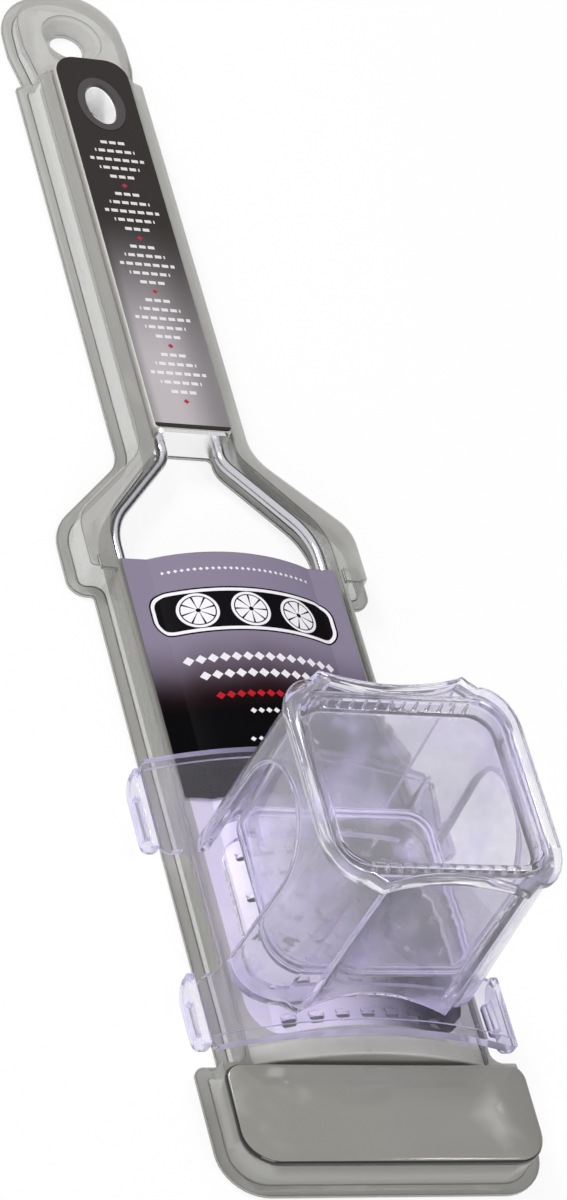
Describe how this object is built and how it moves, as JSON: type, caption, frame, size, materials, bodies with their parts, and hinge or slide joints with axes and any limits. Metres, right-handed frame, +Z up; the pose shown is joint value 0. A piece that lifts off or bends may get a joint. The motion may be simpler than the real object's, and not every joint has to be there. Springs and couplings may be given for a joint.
{
  "type": "rasp zester with food holder in tray",
  "caption": "Long rasp zester on a wire frame, lying in a clear plastic tray, with a hollow food holder that slides along the blade and a press block inside it.",
  "frame": {"origin": "middle of the tray's underside, on the surface that it lies on", "axes": "+Z up out of the tray, +Y along the grater towards the handle and the hanging holes, +X across to the right when the handle points away"},
  "size_m": [0.0788, 0.3674, 0.0624],
  "materials": {
    "tray_plastic": "clear grey, gloss",
    "frame_steel": "polished steel wire",
    "blade_steel": "etched stainless steel",
    "blade_print": "printed film, satin",
    "handle_print": "printed film, satin",
    "grip_plastic": "black, satin",
    "inner_plastic": "black, matte",
    "toe_rubber": "black, matte",
    "holder_plastic": "clear lilac grey, gloss",
    "pusher_plastic": "clear lilac grey, frosted"
  },
  "bodies": {
    "carrier": {"carrier_tray": "tray_plastic"},
    "grater": {"frame_rod_left": "frame_steel", "frame_rod_right": "frame_steel", "blade": "blade_steel", "blade_card": "blade_print", "toe_bar": "grip_plastic", "toe_pad": "toe_rubber", "handle_lower_shell": "grip_plastic", "handle_upper_shell": "grip_plastic", "handle_collar": "frame_steel", "tang_block": "inner_plastic", "handle_card": "handle_print", "hanging_eyelet": "frame_steel"},
    "slider": {"saddle": "holder_plastic", "clip_front_left": "holder_plastic", "clip_front_right": "holder_plastic", "clip_back_left": "holder_plastic", "clip_back_right": "holder_plastic", "hopper": "holder_plastic", "hopper_rim": "holder_plastic"},
    "pusher": {"pusher_body": "pusher_plastic", "pusher_plate": "pusher_plastic", "pusher_prongs": "pusher_plastic"}
  },
  "joints": [
    {"name": "grater_lift", "type": "slide", "parent": "carrier", "child": "grater", "axis": [0, 0, 1], "range_m": [0, 0.04]},
    {"name": "slider_travel", "type": "slide", "parent": "grater", "child": "slider", "axis": [0, 1, 0], "range_m": [-0.0015, 0.053]},
    {"name": "pusher_lift", "type": "slide", "parent": "slider", "child": "pusher", "axis": [0, 0, 1], "range_m": [0, 0.048]}
  ]
}
